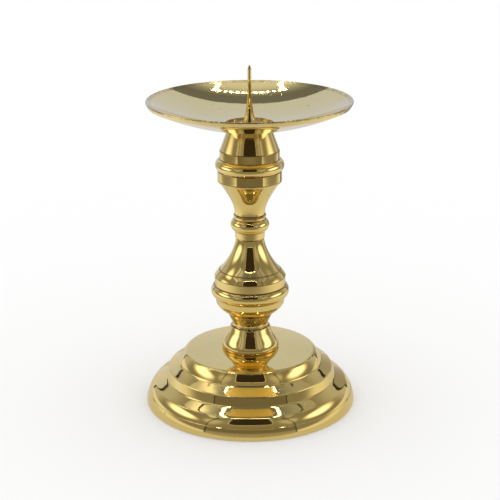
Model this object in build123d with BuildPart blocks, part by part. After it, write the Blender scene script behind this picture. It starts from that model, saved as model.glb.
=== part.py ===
from build123d import *
import os

os.makedirs("parts", exist_ok=True)

# Pricket candle stand: turned brass pieces stacked on a tie rod, with a drip pan
# held under a screwed-in spike. Millimetres, +Z up, origin at the centre of the
# base's underside. Every piece is turned about the Z axis.

# ---- driving dimensions ----
base_r = 50.0            # foot radius at the floor
base_band_top = 5.0      # top of the bottom band
base_band_top_r = 48.75
tier_low_r = 45.8        # edge between the bottom tier and the sloping ring
tier_low_z = 9.25
tier_mid_r = 39.25       # edge of the upper tier
tier_mid_z = 16.3
plateau_r = 29.7         # edge of the plateau
plateau_z = 25.1
seat_r = 13.3            # flat seat under the bell
seat_z = 26.1
base_roof_z = 22.9       # inside of the hollow base, under the seat

bell_r = 13.65           # bell at its widest
bell_neck_r = 9.55
bell_top = 37.4

waist_r = 8.5            # waist above the bell
ovolo_r = 16.1
bead_low_r = 18.38       # lower knop's bead
knop_low_top = 57.95

band_r = 16.68           # lower stem's band
lower_stem_top = 80.75
lower_neck_r = 6.6

knop_r = 9.0             # middle knop's bead
knop_top = 92.2

upper_neck_r = 7.15
upper_band_r = 14.92
bead_up_r = 15.95        # upper stem's bead
collar_r = 13.85
cone_top_r = 10.0
upper_stem_top = 132.93

pan_r = 47.08            # drip pan
pan_seat_z = 132.95      # flat under the pan
pan_floor_z = 135.4      # floor at the edge of the recess
pan_rim_low = 143.75
pan_rim_top = 145.95
recess_r = 11.05
recess_z = 134.45
pan_hole_r = 2.15

spike_foot_r = 3.45
spike_shaft_r = 0.83
spike_top = 161.7
shank_r = 2.0            # spike's threaded shank, drawn plain
shank_len = 12.0
shank_hole_r = 2.05
shank_hole_floor = 120.5

rod_r = 3.0              # tie rod, thread drawn plain
rod_bottom = 14.3
rod_top = 112.0
rod_thread_r = 3.02      # tapped holes around the rod
rod_clear_r = 3.25       # clearance holes around the rod

washer_r = 8.0
washer_h = 1.5
nut_af = 10.0
nut_h = 5.0

# ---- base: hollow, three stepped tiers with a gently crowned plateau ----
with BuildPart() as base:
    with BuildSketch(Plane.XZ):
        with BuildLine():
            Line((46.6, 0), (base_r - 0.45, 0))
            ThreePointArc((base_r - 0.45, 0), (base_r - 0.09, 0.13), (base_r + 0.05, 0.5))
            ThreePointArc((base_r + 0.05, 0.5), (49.55, 2.8), (base_band_top_r, base_band_top))
            Line((base_band_top_r, base_band_top), (base_band_top_r - 0.22, base_band_top + 0.12))
            ThreePointArc((base_band_top_r - 0.22, base_band_top + 0.12), (47.437, 7.365), (tier_low_r, tier_low_z))
            Bezier((tier_low_r, tier_low_z), (45.19, 9.76), (40.99, 11.87), (40.5, 12.5))
            Line((40.5, 12.5), (tier_mid_r, tier_mid_z))
            ThreePointArc((tier_mid_r, tier_mid_z), (39.05, 16.56), (38.7, 16.7))
            ThreePointArc((38.7, 16.7), (36.57, 17.879), (34.495, 19.15))
            ThreePointArc((34.495, 19.15), (34.22, 19.35), (33.97, 19.58))
            ThreePointArc((33.97, 19.58), (33.841, 19.743), (33.75, 19.93))
            ThreePointArc((33.75, 19.93), (32.73, 22.15), (31.26, 24.3))
            ThreePointArc((31.26, 24.3), (30.56, 24.86), (plateau_r, plateau_z))
            ThreePointArc((plateau_r, plateau_z), (21.8, 25.75), (seat_r, seat_z))
            Line((seat_r, seat_z), (rod_clear_r, seat_z))
            Line((rod_clear_r, seat_z), (rod_clear_r, base_roof_z))
            Line((rod_clear_r, base_roof_z), (26.6, base_roof_z))
            ThreePointArc((26.6, base_roof_z), (27.7, 22.5), (28.4, 21.6))
            Line((28.4, 21.6), (31.6, 16.6))
            Line((31.6, 16.6), (36.3, 13.6))
            Line((36.3, 13.6), (37.2, 10.7))
            Line((37.2, 10.7), (38.6, 9.2))
            Line((38.6, 9.2), (43.2, 6.6))
            Line((43.2, 6.6), (46.0, 3.6))
            Line((46.0, 3.6), (46.6, 0))
        make_face()
    revolve(axis=Axis.Z)
base.part.label = "base"
export_step(base.part, "parts/base.step")

# ---- bell: boss standing on the plateau, full at the foot and straight in the flank ----
with BuildPart() as bell:
    with BuildSketch(Plane.XZ):
        with BuildLine():
            Line((rod_clear_r, seat_z), (12.75, seat_z))
            ThreePointArc((12.75, seat_z), (13.4, 26.36), (bell_r, 26.9))
            Spline((bell_r, 26.9), (13.42, 28.5), (12.82, 30.0), (11.8, 31.8), (10.72, 33.8), (bell_neck_r, 36.5),
                   tangents=[(-0.02, 1.0), (-0.4, 0.917)])
            ThreePointArc((bell_neck_r, 36.5), (9.35, 36.95), (9.1, 37.25))
            Line((9.1, 37.25), (8.9, bell_top))
            Line((8.9, bell_top), (rod_clear_r, bell_top))
            Line((rod_clear_r, bell_top), (rod_clear_r, seat_z))
        make_face()
    revolve(axis=Axis.Z)
bell.part.label = "bell"
export_step(bell.part, "parts/bell.step")

# ---- lower knop: waist, ovolo and a heavy bead ----
with BuildPart() as lower_knop:
    with BuildSketch(Plane.XZ):
        with BuildLine():
            Line((rod_clear_r, bell_top), (8.45, bell_top))
            Line((8.45, bell_top), (8.75, 37.6))
            ThreePointArc((8.75, 37.6), (waist_r, 38.7), (9.0, 40.0))
            Spline((9.0, 40.0), (10.1, 42.3), (10.85, 43.95),
                   tangents=[(0.35, 0.94), (0.4, 0.92)])
            Line((10.85, 43.95), (10.95, 44.25))
            ThreePointArc((10.95, 44.25), (14.6, 46.95), (ovolo_r, 49.1))
            Line((ovolo_r, 49.1), (16.4, 51.85))
            Line((16.4, 51.85), (16.6, 52.05))
            ThreePointArc((16.6, 52.05), (bead_low_r, 55.45), (17.2, 57.7))
            Line((17.2, 57.7), (16.5, knop_low_top))
            Line((16.5, knop_low_top), (rod_clear_r, knop_low_top))
            Line((rod_clear_r, knop_low_top), (rod_clear_r, bell_top))
        make_face()
    revolve(axis=Axis.Z)
lower_knop.part.label = "lower_knop"
export_step(lower_knop.part, "parts/lower_knop.step")

# ---- lower stem: band, chamfer and a trumpet rising to a narrow neck ----
with BuildPart() as lower_stem:
    with BuildSketch(Plane.XZ):
        with BuildLine():
            Line((rod_clear_r, knop_low_top), (16.4, knop_low_top))
            Line((16.4, knop_low_top), (band_r, 58.2))
            Line((band_r, 58.2), (band_r - 0.03, 62.0))
            Line((band_r - 0.03, 62.0), (16.82, 62.25))
            ThreePointArc((16.82, 62.25), (15.75, 63.9), (14.5, 65.35))
            Line((14.5, 65.35), (14.2, 65.45))
            Spline((14.2, 65.45), (8.55, 73.9), (lower_neck_r, 80.45),
                   tangents=[(-0.68, 0.733), (-0.12, 0.99)])
            Line((lower_neck_r, 80.45), (6.35, lower_stem_top))
            Line((6.35, lower_stem_top), (rod_clear_r, lower_stem_top))
            Line((rod_clear_r, lower_stem_top), (rod_clear_r, knop_low_top))
        make_face()
    revolve(axis=Axis.Z)
lower_stem.part.label = "lower_stem"
export_step(lower_stem.part, "parts/lower_stem.step")

# ---- middle knop: short collars either side of one bead ----
with BuildPart() as knop:
    with BuildSketch(Plane.XZ):
        with BuildLine():
            Line((rod_clear_r, lower_stem_top), (6.6, lower_stem_top))
            Line((6.6, lower_stem_top), (6.95, 81.05))
            Line((6.95, 81.05), (7.05, 84.0))
            Line((7.05, 84.0), (7.3, 84.35))
            ThreePointArc((7.3, 84.35), (knop_r, 87.6), (7.5, 90.1))
            Line((7.5, 90.1), (7.4, 90.3))
            Line((7.4, 90.3), (7.42, 91.4))
            Line((7.42, 91.4), (7.62, 91.65))
            Line((7.62, 91.65), (7.58, 92.05))
            Line((7.58, 92.05), (7.3, knop_top))
            Line((7.3, knop_top), (rod_clear_r, knop_top))
            Line((rod_clear_r, knop_top), (rod_clear_r, lower_stem_top))
        make_face()
    revolve(axis=Axis.Z)
knop.part.label = "knop"
export_step(knop.part, "parts/knop.step")

# ---- upper stem: trumpet, band, bead, collar and tapered top ----
with BuildPart() as upper_stem:
    with BuildSketch(Plane.XZ):
        with BuildLine():
            Line((0, rod_top + 1.0), (rod_thread_r, rod_top + 1.0))
            Line((rod_thread_r, rod_top + 1.0), (rod_thread_r, knop_top))
            Line((rod_thread_r, knop_top), (6.9, knop_top))
            Line((6.9, knop_top), (upper_neck_r, 92.45))
            Line((upper_neck_r, 92.45), (upper_neck_r, 93.4))
            Spline((upper_neck_r, 93.4), (10.25, 101.7), (14.05, 107.5),
                   tangents=[(0.08, 0.99), (0.62, 0.78)])
            ThreePointArc((14.05, 107.5), (14.65, 107.95), (upper_band_r, 108.8))
            Line((upper_band_r, 108.8), (14.87, 113.0))
            Line((14.87, 113.0), (14.65, 113.3))
            ThreePointArc((14.65, 113.3), (bead_up_r, 116.0), (14.1, 118.7))
            Line((14.1, 118.7), (collar_r, 119.0))
            Line((collar_r, 119.0), (collar_r, 122.65))
            Line((collar_r, 122.65), (13.65, 122.95))
            Line((13.65, 122.95), (cone_top_r, upper_stem_top))
            Line((cone_top_r, upper_stem_top), (shank_hole_r, upper_stem_top))
            Line((shank_hole_r, upper_stem_top), (shank_hole_r, shank_hole_floor))
            Line((shank_hole_r, shank_hole_floor), (0, shank_hole_floor - 0.9))
            Line((0, shank_hole_floor - 0.9), (0, rod_top + 1.0))
        make_face()
    revolve(axis=Axis.Z)
upper_stem.part.label = "upper_stem"
export_step(upper_stem.part, "parts/upper_stem.step")

# ---- drip pan: shallow dish of even wall with a turned recess round the spike ----
with BuildPart() as drip_pan:
    with BuildSketch(Plane.XZ):
        with BuildLine():
            Line((pan_hole_r, pan_seat_z), (10.5, pan_seat_z))
            ThreePointArc((10.5, pan_seat_z), (27.0, 136.5), (pan_r - 0.88, pan_rim_low))
            Line((pan_r - 0.88, pan_rim_low), (pan_r, pan_rim_top - 0.5))
            ThreePointArc((pan_r, pan_rim_top - 0.5), (pan_r - 0.1, pan_rim_top - 0.12), (pan_r - 0.45, pan_rim_top))
            ThreePointArc((pan_r - 0.45, pan_rim_top), (27.0, 138.1), (recess_r, pan_floor_z))
            Line((recess_r, pan_floor_z), (recess_r, recess_z))
            Line((recess_r, recess_z), (pan_hole_r, recess_z))
            Line((pan_hole_r, recess_z), (pan_hole_r, pan_seat_z))
        make_face()
    revolve(axis=Axis.Z)
drip_pan.part.label = "drip_pan"
export_step(drip_pan.part, "parts/drip_pan.step")

# ---- spike: slim shaft on a trumpet foot, with a shank through the pan ----
with BuildPart() as spike:
    with BuildSketch(Plane.XZ):
        with BuildLine():
            Line((0, recess_z - shank_len), (shank_r - 0.4, recess_z - shank_len))
            Line((shank_r - 0.4, recess_z - shank_len), (shank_r, recess_z - shank_len + 0.4))
            Line((shank_r, recess_z - shank_len + 0.4), (shank_r, recess_z))
            Line((shank_r, recess_z), (spike_foot_r, recess_z))
            Line((spike_foot_r, recess_z), (spike_foot_r, recess_z + 0.35))
            Spline((spike_foot_r, recess_z + 0.35), (2.62, 137.1), (1.68, 141.2), (1.1, 145.6),
                   (spike_shaft_r, 152.0), tangents=[(-0.35, 0.94), (0, 1)])
            Line((spike_shaft_r, 152.0), (spike_shaft_r, 159.9))
            Line((spike_shaft_r, 159.9), (0.45, 161.2))
            ThreePointArc((0.45, 161.2), (0.34, 161.53), (0.12, spike_top))
            Line((0.12, spike_top), (0, spike_top))
            Line((0, spike_top), (0, recess_z - shank_len))
        make_face()
    revolve(axis=Axis.Z)
spike.part.label = "spike"
export_step(spike.part, "parts/spike.step")

# ---- tie rod: screwed into the upper stem, clamps the stack to the base ----
with BuildPart() as tie_rod:
    with BuildSketch(Plane.XY.offset(rod_bottom)):
        Circle(rod_r)
    extrude(amount=rod_top - rod_bottom)
    chamfer(tie_rod.edges().filter_by(GeomType.CIRCLE), length=0.5)
tie_rod.part.label = "tie_rod"
export_step(tie_rod.part, "parts/tie_rod.step")

# ---- washer under the base's roof ----
with BuildPart() as washer:
    with BuildSketch(Plane.XY.offset(base_roof_z - washer_h)):
        Circle(washer_r)
        Circle(3.2, mode=Mode.SUBTRACT)
    extrude(amount=washer_h)
washer.part.label = "washer"
export_step(washer.part, "parts/washer.step")

# ---- hexagon nut ----
with BuildPart() as nut:
    with BuildSketch(Plane.XY.offset(base_roof_z - washer_h - nut_h)):
        RegularPolygon(nut_af / 2, 6, major_radius=False)
        Circle(rod_thread_r, mode=Mode.SUBTRACT)
    extrude(amount=nut_h)
    with BuildSketch(Plane.XZ):
        with BuildLine():
            nut_low = base_roof_z - washer_h - nut_h
            Line((nut_af / 2 - 0.1, nut_low), (nut_af / 2 + 1.2, nut_low))
            Line((nut_af / 2 + 1.2, nut_low), (nut_af / 2 + 1.2, nut_low + 0.75))
            Line((nut_af / 2 + 1.2, nut_low + 0.75), (nut_af / 2 - 0.1, nut_low))
        make_face()
    revolve(axis=Axis.Z, mode=Mode.SUBTRACT)
nut.part.label = "nut"
export_step(nut.part, "parts/nut.step")
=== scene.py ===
import math

import bpy
from mathutils import Euler, Matrix, Vector


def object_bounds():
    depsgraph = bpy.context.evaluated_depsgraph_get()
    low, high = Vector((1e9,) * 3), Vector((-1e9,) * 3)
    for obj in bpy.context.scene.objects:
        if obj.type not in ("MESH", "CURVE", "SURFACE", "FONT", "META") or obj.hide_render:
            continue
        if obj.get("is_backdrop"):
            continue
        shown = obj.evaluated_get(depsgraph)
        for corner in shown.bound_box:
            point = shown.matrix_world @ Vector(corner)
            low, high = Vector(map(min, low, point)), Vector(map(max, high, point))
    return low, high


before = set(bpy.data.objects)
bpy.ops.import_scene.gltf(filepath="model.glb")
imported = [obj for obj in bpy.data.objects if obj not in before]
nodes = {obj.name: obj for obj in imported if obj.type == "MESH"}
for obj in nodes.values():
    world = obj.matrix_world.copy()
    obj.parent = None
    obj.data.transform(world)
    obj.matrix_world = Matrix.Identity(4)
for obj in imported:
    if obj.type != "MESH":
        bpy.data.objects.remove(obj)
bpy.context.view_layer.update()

scene = bpy.context.scene


# ---------------------------------------------------------------- node helpers
class Graph:
    """A material's node tree, with short calls for the nodes used here."""

    def __init__(self, name):
        self.mat = bpy.data.materials.new(name)
        self.mat.use_nodes = True
        self.tree = self.mat.node_tree
        self.tree.nodes.clear()
        self.out = self.tree.nodes.new("ShaderNodeOutputMaterial")

    def link(self, a, b):
        self.tree.links.new(a, b)

    def put(self, socket, value):
        if isinstance(value, bpy.types.NodeSocket):
            self.link(value, socket)
        else:
            socket.default_value = value

    def node(self, kind, **props):
        n = self.tree.nodes.new(kind)
        for k, v in props.items():
            setattr(n, k, v)
        return n

    def math(self, op, a, b=None, c=None, clamp=False):
        n = self.node("ShaderNodeMath", operation=op, use_clamp=clamp)
        for i, v in enumerate((a, b, c)):
            if v is not None:
                self.put(n.inputs[i], v)
        return n.outputs[0]

    def vmath(self, op, a, b=None, scale=None):
        n = self.node("ShaderNodeVectorMath", operation=op)
        self.put(n.inputs[0], a)
        if b is not None:
            self.put(n.inputs[1], b)
        if scale is not None:
            self.put(n.inputs["Scale"], scale)
        return n.outputs["Value"] if op in ("LENGTH", "DOT_PRODUCT") else n.outputs["Vector"]

    def noise(self, vector, scale, detail=2.0, rough=0.5, distortion=0.0):
        n = self.node("ShaderNodeTexNoise", noise_dimensions="3D")
        self.put(n.inputs["Vector"], vector)
        n.inputs["Scale"].default_value = scale
        n.inputs["Detail"].default_value = detail
        n.inputs["Roughness"].default_value = rough
        n.inputs["Distortion"].default_value = distortion
        return n.outputs[0]

    def cells(self, vector, scale, feature="F1"):
        n = self.node("ShaderNodeTexVoronoi", feature=feature)
        self.put(n.inputs["Vector"], vector)
        n.inputs["Scale"].default_value = scale
        return n.outputs["Distance"]

    def range(self, value, lo, hi, to_lo=0.0, to_hi=1.0, smooth=True):
        n = self.node("ShaderNodeMapRange", interpolation_type="SMOOTHSTEP" if smooth else "LINEAR")
        self.put(n.inputs["Value"], value)
        n.inputs["From Min"].default_value = lo
        n.inputs["From Max"].default_value = hi
        n.inputs["To Min"].default_value = to_lo
        n.inputs["To Max"].default_value = to_hi
        return n.outputs[0]

    def mix(self, factor, a, b, blend="MIX"):
        n = self.node("ShaderNodeMix", data_type="RGBA", blend_type=blend)
        self.put(n.inputs[0], factor)
        self.put(n.inputs[6], a)
        self.put(n.inputs[7], b)
        return n.outputs[2]

    def bump(self, height, distance, strength=1.0, normal=None):
        n = self.node("ShaderNodeBump")
        n.inputs["Strength"].default_value = strength
        n.inputs["Distance"].default_value = distance
        self.put(n.inputs["Height"], height)
        if normal is not None:
            self.link(normal, n.inputs["Normal"])
        return n.outputs[0]

    def xyz(self, x, y, z):
        n = self.node("ShaderNodeCombineXYZ")
        for i, v in enumerate((x, y, z)):
            self.put(n.inputs[i], v)
        return n.outputs[0]


def rgb(r, g, b):
    return (r, g, b, 1.0)


# ---------------------------------------------------------------- metals
def turned_frame(g):
    """Position on the piece, and its radius, height and turn about the axis."""
    pos = g.node("ShaderNodeTexCoord").outputs["Object"]
    sep = g.node("ShaderNodeSeparateXYZ")
    g.link(pos, sep.inputs[0])
    x, y, z = sep.outputs
    r = g.math("SQRT", g.math("ADD", g.math("MULTIPLY", x, x), g.math("MULTIPLY", y, y)))
    turn = g.math("ARCTAN2", y, x)
    return pos, r, z, turn


def brass(name, tone, deep, rough=(0.035, 0.085), ring=2.2e-6, wave=3.0e-5, wave_scale=55.0,
          stain_and_seam_shade_z=(), haze=0.0, pits=0.5, grain=0.02):
    """Polished and lacquer-free turned brass: broad polishing waves, fine lathe rings, wipe marks,
    specks, and brown bands at given heights: real stain, and painted shade in the seams and grooves where the pieces
    meet."""
    g = Graph(name)
    pos, r, z, turn = turned_frame(g)

    # lathe rings: noise that only knows the profile, so it runs round the axis
    profile = g.xyz(r, z, 0.0)
    rings = g.noise(profile, 950.0, detail=3.0, rough=0.6)
    # wipe marks, long round the axis and short along the profile
    swirl = g.xyz(g.math("MULTIPLY", turn, 0.012), r, z)
    wipes = g.noise(swirl, 260.0, detail=4.0, rough=0.62, distortion=0.25)
    cloud = g.noise(pos, 38.0, detail=5.0, rough=0.6)
    patch = g.noise(pos, 120.0, detail=4.0, rough=0.6)

    # brown bands at the given heights: real stain, and painted shade where a band sits in a seam or groove between
    # pieces
    stain_and_seam_shade = None
    for low, high, soft, depth, gap in stain_and_seam_shade_z:
        up = g.range(z, low - soft, low)
        down = g.range(z, high, high + soft, 1.0, 0.0)
        band = g.math("MULTIPLY", up, down)
        broken = g.range(g.noise(pos, 420.0, detail=6.0, rough=0.66), gap, gap + 0.24)
        band = g.math("MULTIPLY", g.math("MULTIPLY", band, broken), depth)
        stain_and_seam_shade = band if stain_and_seam_shade is None else g.math("MAXIMUM", stain_and_seam_shade, band)

    # small dark specks in the casting
    near = g.cells(pos, 330.0)
    rare = g.range(g.noise(pos, 210.0, detail=1.0), 0.60, 0.70)
    speck = g.math("MULTIPLY", g.range(near, 0.10, 0.22, 1.0, 0.0), rare)
    speck = g.math("MULTIPLY", speck, pits)

    colour = g.mix(g.range(cloud, 0.36, 0.66), rgb(*tone), rgb(*deep))
    colour = g.mix(g.math("MULTIPLY", g.range(wipes, 0.52, 0.74), 0.16), colour,
                   rgb(tone[0] * 0.9, tone[1] * 0.84, tone[2] * 0.74))
    fine = g.noise(pos, 1500.0, detail=3.0, rough=0.7)
    colour = g.mix(g.math("MULTIPLY", g.range(fine, 0.40, 0.62), grain * 4.0), colour,
                   rgb(tone[0] * 0.74, tone[1] * 0.70, tone[2] * 0.66))
    # brown for the stain, and painted shade darkening the seams and grooves
    if stain_and_seam_shade is not None:
        colour = g.mix(stain_and_seam_shade, colour, rgb(0.30, 0.17, 0.06))
    colour = g.mix(speck, colour, rgb(0.22, 0.13, 0.05))

    low, high = rough
    value = g.range(patch, 0.30, 0.72, low, high)
    value = g.math("ADD", value, g.math("MULTIPLY", g.range(wipes, 0.50, 0.78), 0.05))
    if haze:
        value = g.math("ADD", value, g.math("MULTIPLY", g.range(cloud, 0.35, 0.65), haze))
    if stain_and_seam_shade is not None:
        value = g.math("ADD", value, g.math("MULTIPLY", stain_and_seam_shade, 0.25))
    value = g.math("ADD", value, g.math("MULTIPLY", speck, 0.3), clamp=True)

    soft = g.noise(pos, wave_scale, detail=2.0, rough=0.45)
    normal = g.bump(soft, wave)
    normal = g.bump(rings, ring, normal=normal)
    normal = g.bump(g.math("MULTIPLY", speck, -1.0), 6.0e-5, normal=normal)

    p = g.node("ShaderNodeBsdfPrincipled")
    p.inputs["Metallic"].default_value = 1.0
    g.link(colour, p.inputs["Base Color"])
    g.link(value, p.inputs["Roughness"])
    g.link(normal, p.inputs["Normal"])
    g.link(p.outputs[0], g.out.inputs["Surface"])
    return g.mat


def steel(name):
    """Zinc-plated steel of the hidden rod, washer and nut."""
    g = Graph(name)
    pos, r, z, turn = turned_frame(g)
    grain = g.noise(pos, 900.0, detail=4.0, rough=0.6)
    cloud = g.noise(pos, 160.0, detail=4.0, rough=0.6)
    colour = g.mix(g.range(cloud, 0.35, 0.68), rgb(0.55, 0.55, 0.53), rgb(0.34, 0.33, 0.31))
    rust = g.range(g.noise(pos, 260.0, detail=6.0, rough=0.7), 0.62, 0.74)
    colour = g.mix(g.math("MULTIPLY", rust, 0.7), colour, rgb(0.20, 0.10, 0.05))
    value = g.range(grain, 0.3, 0.7, 0.28, 0.46)
    p = g.node("ShaderNodeBsdfPrincipled")
    p.inputs["Metallic"].default_value = 1.0
    g.link(colour, p.inputs["Base Color"])
    g.link(value, p.inputs["Roughness"])
    g.link(g.bump(grain, 1.5e-5), p.inputs["Normal"])
    g.link(p.outputs[0], g.out.inputs["Surface"])
    return g.mat


TONE = (0.93, 0.72, 0.28)
DEEP = (0.91, 0.69, 0.25)
metals = {
    # the broad brown band at the waist is stain; the thin bands at the listed heights are painted shade in the seams
    # and grooves between pieces
    "brass": brass("brass_turned", TONE, DEEP, stain_and_seam_shade_z=[(0.0378, 0.0440, 0.0015, 0.75, 0.42)] + [
        (place - 0.00012, place + 0.00012, 0.00022, 0.85, 0.26)
        for place in (0.0374, 0.0441, 0.05195, 0.0579, 0.0621, 0.0654, 0.0808, 0.0842, 0.0902, 0.0915, 0.0923,
                      0.1087, 0.1132, 0.1189, 0.1228)]),
    "brass_pan": brass("brass_pan", (0.93, 0.75, 0.35), (0.91, 0.72, 0.31), rough=(0.022, 0.05), ring=0.8e-6, wave=0.8e-5,
                       stain_and_seam_shade_z=((0.14525, 0.1460, 0.0004, 0.42, 0.36), (0.1340, 0.13475, 0.0003, 0.55, 0.34)), grain=0.05),
    "brass_base": brass("brass_base", TONE, DEEP),
    "brass_spike": brass("brass_spike", TONE, DEEP, rough=(0.08, 0.16)),
    "steel": steel("steel_plated"),
}
slot_of = {
    "base": "brass_base", "bell": "brass", "lower_knop": "brass", "lower_stem": "brass", "knop": "brass",
    "upper_stem": "brass", "drip_pan": "brass_pan", "spike": "brass_spike",
    "tie_rod": "steel", "washer": "steel", "nut": "steel",
}
for node, slot in slot_of.items():
    for s in nodes[node].material_slots:
        s.material = metals[slot]


# ---------------------------------------------------------------- stage
def quad(name, corners):
    mesh = bpy.data.meshes.new(name)
    mesh.from_pydata(corners, [], [(0, 1, 2, 3)])
    o = bpy.data.objects.new(name, mesh)
    scene.collection.objects.link(o)
    o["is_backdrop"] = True
    return o


def glow(name, colour, strength):
    """Plain light of one colour."""
    g = Graph(name)
    e = g.node("ShaderNodeEmission")
    e.inputs["Color"].default_value = rgb(*colour)
    e.inputs["Strength"].default_value = strength
    g.link(e.outputs[0], g.out.inputs["Surface"])
    g.mat.cycles.emission_sampling = "NONE"
    return g.mat


def glow_pools(name, ground, pools, seams=()):
    """Light of a tent wall: a ground colour, soft pools of light on it, and thin dark seams.
    A pool is (centre, spread, colour); a seam is (axis, place, half width)."""
    g = Graph(name)
    pos = g.node("ShaderNodeNewGeometry").outputs["Position"]
    sep = g.node("ShaderNodeSeparateXYZ")
    g.link(pos, sep.inputs[0])
    total = rgb(*ground)
    for centre, spread, colour in pools:
        away = None
        for i in range(3):
            if spread[i] is None:
                continue
            d = g.math("DIVIDE", g.math("SUBTRACT", sep.outputs[i], centre[i]), spread[i])
            d = g.math("MULTIPLY", d, d)
            away = d if away is None else g.math("ADD", away, d)
        share = g.math("EXPONENT", g.math("MULTIPLY", g.math("MULTIPLY", away, away), -1.0))
        total = g.mix(share, total, rgb(*colour))
    for axis, place, half in seams:
        gap = g.math("ABSOLUTE", g.math("SUBTRACT", sep.outputs[axis], place))
        total = g.mix(g.range(gap, half * 0.6, half, 0.9, 0.0), total, rgb(0.01, 0.01, 0.01))
    e = g.node("ShaderNodeEmission")
    g.put(e.inputs["Color"], total)
    e.inputs["Strength"].default_value = 1.0
    g.link(e.outputs[0], g.out.inputs["Surface"])
    g.mat.cycles.emission_sampling = "NONE"
    return g.mat


def mirror_only(o):
    """The metal mirrors it; the camera and the floor don't see it."""
    o.visible_camera = False
    o.visible_diffuse = False
    o.visible_shadow = False
    o.visible_transmission = False
    o.visible_volume_scatter = False
    return o


def panel(name, corners, mat):
    o = quad(name, corners)
    o.data.materials.append(mat)
    return mirror_only(o)


floor = quad("floor", [(-3, -3, 0), (3, -3, 0), (3, 3, 0), (-3, 3, 0)])
floor.location.z = -0.0004
g = Graph("floor_white")
d = g.node("ShaderNodeBsdfDiffuse")
d.inputs["Color"].default_value = rgb(0.86, 0.86, 0.86)
g.link(d.outputs[0], g.out.inputs["Surface"])
floor.data.materials.append(g.mat)
floor.visible_glossy = False

world = bpy.data.worlds.new("studio")
scene.world = world
world.use_nodes = True
world.node_tree.nodes["Background"].inputs["Color"].default_value = rgb(1.0, 1.0, 1.0)
world.node_tree.nodes["Background"].inputs["Strength"].default_value = 1.16
world.cycles_visibility.glossy = False

# the light tent round the stand: cover in front, sheet behind, roof with lamps, and lit cloth at the sides
X, YF, YB, ZT = 0.225, -0.220, 0.250, 0.410
SIDE, FAR = 0.300, 0.60                     # side cloths, and how far the floor runs
ZB = 0.342                                  # top of the sheet hung at the back
DIM = (0.255, 0.24, 0.205)                  # unlit cloth
DARK = (0.160, 0.172, 0.195)                # roof cloth away from the lamps

panel("tent_floor", [(-FAR, -FAR, -0.0002), (FAR, -FAR, -0.0002), (FAR, FAR, -0.0002), (-FAR, FAR, -0.0002)],
      glow_pools("tent_floor", (0.20, 0.19, 0.16),
                 [((0, -0.01, 0), (None, 0.165, None), (0.62, 0.60, 0.53)),
                  ((0, 0.34, 0), (None, 0.20, None), (0.80, 0.80, 0.80)),
                  ((-0.30, 0.08, 0), (0.20, 0.22, None), (0.88, 0.90, 0.95)),
                  ((0.30, 0.08, 0), (0.20, 0.22, None), (0.84, 0.82, 0.76)),
                  ((0.28, 0.32, 0), (0.14, 0.15, None), (0.30, 0.29, 0.26))]))
panel("tent_back", [(-X, YB, 0), (X, YB, 0), (X, YB, ZB), (-X, YB, ZB)],
      glow_pools("tent_back", (0.60, 0.66, 0.84), [((0, 0, 0), (None, None, 0.10), (0.70, 0.71, 0.75)),
                                                         ((0.24, 0, 0), (0.15, None, 0.24), (0.30, 0.29, 0.26))],
                 seams=((0, -X, 0.004), (0, X, 0.004))))
panel("tent_back_top", [(-X, YB, ZB), (X, YB, ZB), (X, YB, ZT), (-X, YB, ZT)], glow_pools("tent_back_top", DARK, []))
high = {"left": (1.55, 1.50, 1.40), "right": (0.42, 0.41, 0.38)}
for side, k in (("left", -1), ("right", 1)):
    panel("tent_" + side, [(k * SIDE, -0.34, 0), (k * SIDE, 0.38, 0), (k * SIDE, 0.38, ZT + 0.05), (k * SIDE, -0.34, ZT + 0.05)],
          glow_pools("tent_" + side, DIM,
                     [((0, 0.28, 0.10), (None, 0.14, 0.30), (0.52, 0.53, 0.55)),
                      ((0, -0.27, 0.260), (None, 0.065, 0.090), (0.56, 0.54, 0.47)),
                      ((0, 0, 0), (None, None, 0.028), (0.86, 0.84, 0.78)),
                      ((0, 0.050, 0.330), (None, 0.085, 0.060), high[side]),
                      ((0, -0.04, 0.152), (None, 0.118, 0.062), (2.0, 1.95, 1.85))]))
roof = {"left": (0.66, 0.66, 0.66), "right": (0.40, 0.40, 0.40)}
panel("tent_top", [(-SIDE, YF, ZT), (SIDE, YF, ZT), (SIDE, YB, ZT), (-SIDE, YB, ZT)],
      glow_pools("tent_top", DARK, [((-SIDE, 0, 0), (0.150, None, None), roof["left"]),
                                    ((SIDE, 0, 0), (0.150, None, None), roof["right"]),
                                    ((-0.20, 0.125, 0), (0.075, 0.060, None), (1.5, 1.45, 1.35)),
                                    ((0, 0.160, 0), (0.270, 0.075, None), (0.40, 0.42, 0.44)),
                                    ((0, 0.148, 0), (0.130, 0.060, None), (0.74, 0.76, 0.82))]))


def strip(name, path, width, y, mat):
    """A narrow flat band along a path of (x, z) points, standing to the left of its direction."""
    verts, faces = [], []
    for i, (x, z) in enumerate(path):
        a = Vector(path[max(i - 1, 0)])
        b = Vector(path[min(i + 1, len(path) - 1)])
        d = (b - a).normalized()
        verts += [(x, y, z), (x - d.y * width, y, z + d.x * width)]
        if i:
            faces.append((2 * i - 2, 2 * i, 2 * i + 1, 2 * i - 1))
    mesh = bpy.data.meshes.new(name)
    mesh.from_pydata(verts, [], faces)
    o = bpy.data.objects.new(name, mesh)
    scene.collection.objects.link(o)
    o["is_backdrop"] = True
    mesh.materials.append(mat)
    return mirror_only(o)


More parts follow.
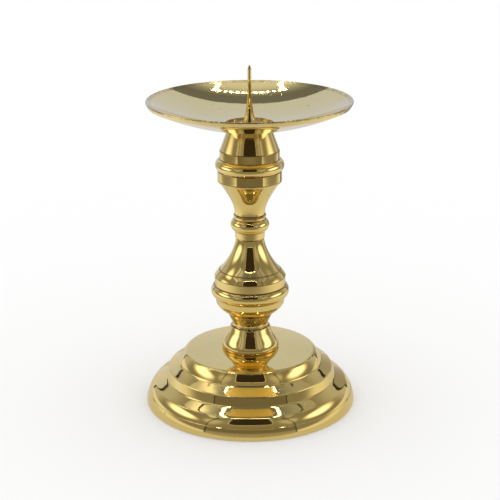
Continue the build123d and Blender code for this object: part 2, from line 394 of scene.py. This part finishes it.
# front cover with its round-cornered window, the lit edge round the window, and the dark cover seams
W, WT, Z0, Z1, ROUND = 0.098, 0.116, 0.120, 0.386, 0.034
front = glow_pools("tent_front", DIM, [((0, 0, 0.050), (None, None, 0.018), (0.170, 0.155, 0.125)),
                                       ((0, 0, 0), (None, None, 0.030), (0.36, 0.34, 0.285)),
                                       ((-0.20, 0, 0.18), (0.065, None, 0.085), (0.52, 0.50, 0.44)),
                                       ((0.20, 0, 0.18), (0.065, None, 0.085), (0.52, 0.50, 0.44))])
panel("tent_front_low", [(-X, YF, 0), (X, YF, 0), (X, YF, Z0), (-X, YF, Z0)], front)
panel("tent_front_high", [(-X, YF, Z1), (X, YF, Z1), (X, YF, ZT), (-X, YF, ZT)], front)
panel("tent_front_left", [(-X, YF, Z0), (-W, YF, Z0), (-WT, YF, Z1), (-X, YF, Z1)], front)
panel("tent_front_right", [(W, YF, Z0), (X, YF, Z0), (X, YF, Z1), (WT, YF, Z1)], front)
edge = glow("window_edge", (1.0, 0.95, 0.85), 0.85)
seam = glow("seam", (1.0, 0.8, 0.5), 0.02)
T = 0.004
corner = [math.radians(90.0 * i / 10) for i in range(11)]
for side, k in (("left", -1), ("right", 1)):
    bend = [(k * (W - ROUND + ROUND * math.cos(t)), Z0 + ROUND - ROUND * math.sin(t)) for t in corner]
    mesh = bpy.data.meshes.new("window_corner_" + side)
    mesh.from_pydata([(k * W, YF + 0.0005, Z0)] + [(x, YF + 0.0005, z) for x, z in bend], [],
                     [(0, i, i + 1) for i in range(1, 11)])
    o = bpy.data.objects.new("window_corner_" + side, mesh)
    scene.collection.objects.link(o)
    o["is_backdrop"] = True
    mesh.materials.append(front)
    mirror_only(o)
    strip("window_edge_" + side, [(k * WT, Z1)] + bend + [(0, Z0)], -k * -T, YF + 0.001, edge)
    panel("seam_" + side, [(k * (X - 0.007), YF + 0.001, 0), (k * (X + 0.003), YF + 0.001, 0),
                           (k * (X + 0.003), YF + 0.001, ZT), (k * (X - 0.007), YF + 0.001, ZT)], seam)
    panel("seam_rear_" + side, [(k * (X - 0.009), YB - 0.001, 0), (k * (X + 0.009), YB - 0.001, 0),
                                (k * (X + 0.009), YB - 0.001, ZT), (k * (X - 0.009), YB - 0.001, ZT)], seam)
    panel("seam_roof_" + side, [(k * (X - 0.006), YF, ZT - 0.001), (k * (X + 0.006), YF, ZT - 0.001),
                                (k * (X + 0.006), 0.10, ZT - 0.001), (k * (X - 0.006), 0.10, ZT - 0.001)], seam)
panel("window_dark", [(-0.6, -0.40, 0), (0.6, -0.40, 0), (0.6, -0.40, 0.9), (-0.6, -0.40, 0.9)],
      glow("window_dark", (0.035, 0.027, 0.02), 1.0))


def lamps(name, places, wide, tall, strength):
    """A strip of small lamps, each a little plate turned towards the stand."""
    mesh = bpy.data.meshes.new(name)
    verts, faces = [], []
    for x, y, z in places:
        b = len(verts)
        back = Vector((0.0, y, z - 0.06)).normalized()
        side = Vector((1.0, 0.0, 0.0))
        up = back.cross(side).normalized()
        c = Vector((x, y, z))
        verts += [tuple(c + side * (i * wide) + up * (j * tall)) for i, j in ((-1, -1), (1, -1), (1, 1), (-1, 1))]
        faces.append((b, b + 1, b + 2, b + 3))
    mesh.from_pydata(verts, [], faces)
    o = bpy.data.objects.new(name, mesh)
    scene.collection.objects.link(o)
    o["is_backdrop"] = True
    mesh.materials.append(glow(name, (1.0, 0.99, 0.95), strength))
    return mirror_only(o)


lamps("lamps_front", [(-0.116 + 0.232 * i / 17, YF + 0.004, Z1 + 0.002) for i in range(18)], 0.0022, 0.0042, 10.0)
for side, k in (("left", -1), ("right", 1)):
    lamps("lamps_" + side, [(k * 0.120, -0.105 + 0.14 * i / 15, ZT - 0.003) for i in range(16)], 0.0050, 0.0020, 20.0)
lamps("lamps_rear", [(-0.0365 + 0.073 * i / 12, 0.220, ZT - 0.003) for i in range(13)], 0.0012, 0.0026, 26.0)
lamps("lamps_ends", [(k * 0.0340, 0.212 - 0.008 * i, ZT - 0.003) for k in (-1, 1) for i in range(5)], 0.0024, 0.0014, 14.0)

# ---------------------------------------------------------------- camera
cam = bpy.data.cameras.new("camera")
cam.sensor_width = 36.0
cam.lens = 36.0 * 1326.2 / 500.0
cam.clip_start, cam.clip_end = 0.01, 50.0
eye = bpy.data.objects.new("camera", cam)
scene.collection.objects.link(eye)
turn = Euler((math.radians(90.0 - 18.24), 0.0, 0.0)).to_matrix().to_4x4() @ Matrix.Rotation(math.radians(-0.2), 4, "Z")
eye.matrix_world = Matrix.Translation((0.0, -0.5909, 0.2691)) @ turn
scene.camera = eye

scene.view_settings.view_transform = "Standard"

low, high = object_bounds()
